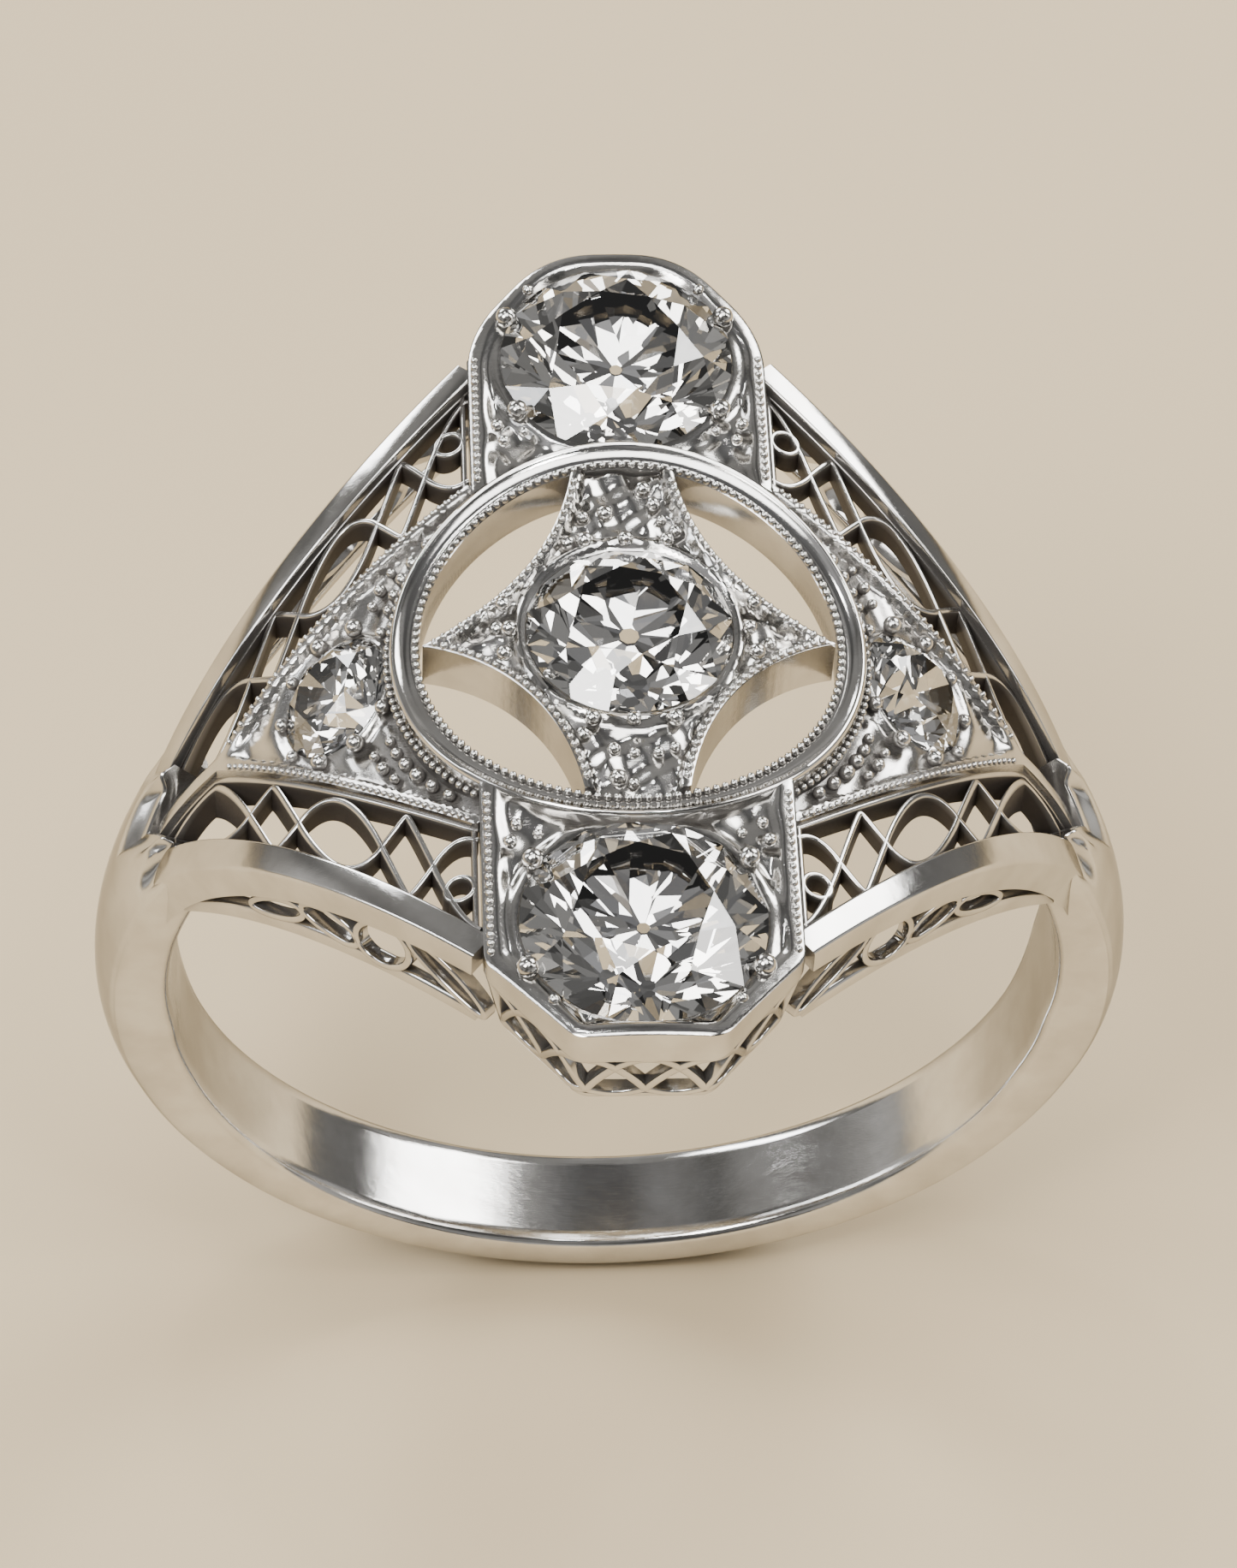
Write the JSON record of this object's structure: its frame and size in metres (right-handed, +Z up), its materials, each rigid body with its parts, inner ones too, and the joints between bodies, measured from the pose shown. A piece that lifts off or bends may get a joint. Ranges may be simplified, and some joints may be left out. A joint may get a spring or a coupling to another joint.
{
  "type": "engagement ring",
  "caption": "White-gold filigree engagement ring: round stones in line along the finger, pierced shoulders and a plain tapered shank.",
  "frame": {"origin": "centre of the finger hole", "axes": "+Y along the finger through the hole, +Z up through the centre stone, +X across the finger to the right-hand shoulder"},
  "size_m": [0.0212, 0.0192, 0.022],
  "materials": {
    "polished_white_gold": "polished",
    "engraved_white_gold": "satin",
    "diamond": "polished"
  },
  "bodies": {
    "root": {"shank": "polished_white_gold", "center_ring": "polished_white_gold", "star_plate": "engraved_white_gold", "bezel_front": "polished_white_gold", "end_gallery_front": "polished_white_gold", "diamond_front": "diamond", "rail_front_left": "polished_white_gold", "gallery_rail_front_left": "polished_white_gold", "side_gallery_front_left": "polished_white_gold", "filigree_front_left": "engraved_white_gold", "rail_front_right": "polished_white_gold", "gallery_rail_front_right": "polished_white_gold", "side_gallery_front_right": "polished_white_gold", "filigree_front_right": "engraved_white_gold", "bezel_back": "polished_white_gold", "end_gallery_back": "polished_white_gold", "diamond_back": "diamond", "rail_back_left": "polished_white_gold", "gallery_rail_back_left": "polished_white_gold", "side_gallery_back_left": "polished_white_gold", "filigree_back_left": "engraved_white_gold", "rail_back_right": "polished_white_gold", "gallery_rail_back_right": "polished_white_gold", "side_gallery_back_right": "polished_white_gold", "filigree_back_right": "engraved_white_gold", "shoulder_plate_left": "engraved_white_gold", "diamond_left": "diamond", "shoulder_plate_right": "engraved_white_gold", "diamond_right": "diamond", "diamond_center": "diamond"}
  },
  "joints": []
}
